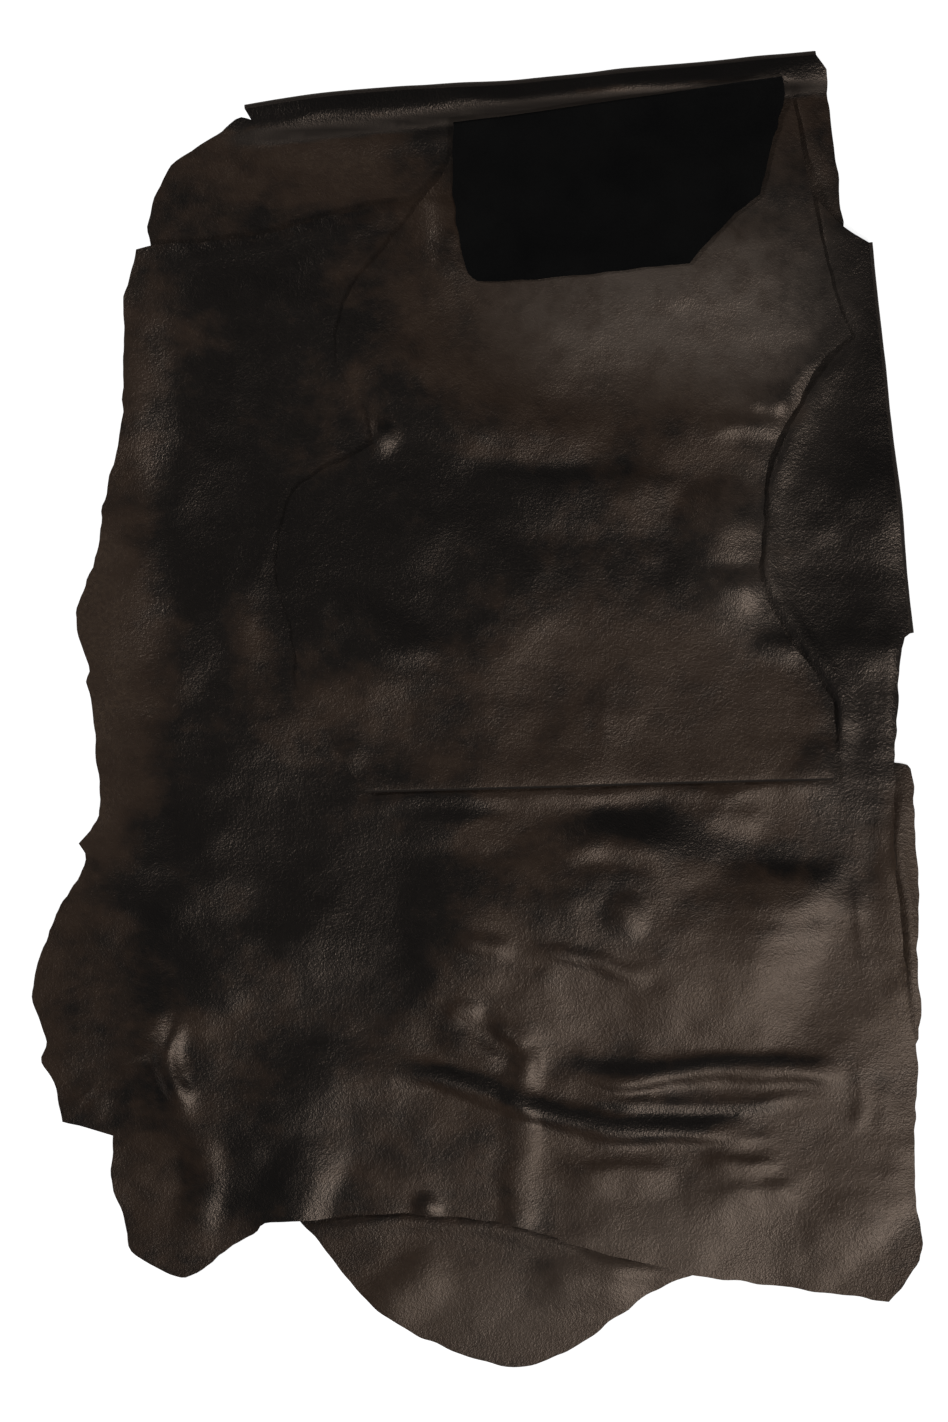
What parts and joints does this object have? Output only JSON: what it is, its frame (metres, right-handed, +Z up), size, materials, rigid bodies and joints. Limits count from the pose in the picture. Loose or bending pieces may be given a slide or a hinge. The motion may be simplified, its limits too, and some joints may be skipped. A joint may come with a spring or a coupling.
{
  "type": "folded leather hide",
  "caption": "Whole soft black leather hide folded up flat, grain side out, with its neck end laid on top, a flesh-side flap and a turned top edge.",
  "frame": {"origin": "middle of the bounding box, on the surface that the folded hide lies on", "axes": "+X across the folded pile, towards its straight folded edge; +Y along the pile, towards the turned top edge; +Z up, through the layers"},
  "size_m": [0.6884, 1.0094, 0.0151],
  "materials": {
    "leather": "soft black-brown full grain with a low sheen on the outer side, matt near-black suede on the flesh side"
  },
  "bodies": {
    "root": {"hide": "leather"}
  },
  "joints": []
}
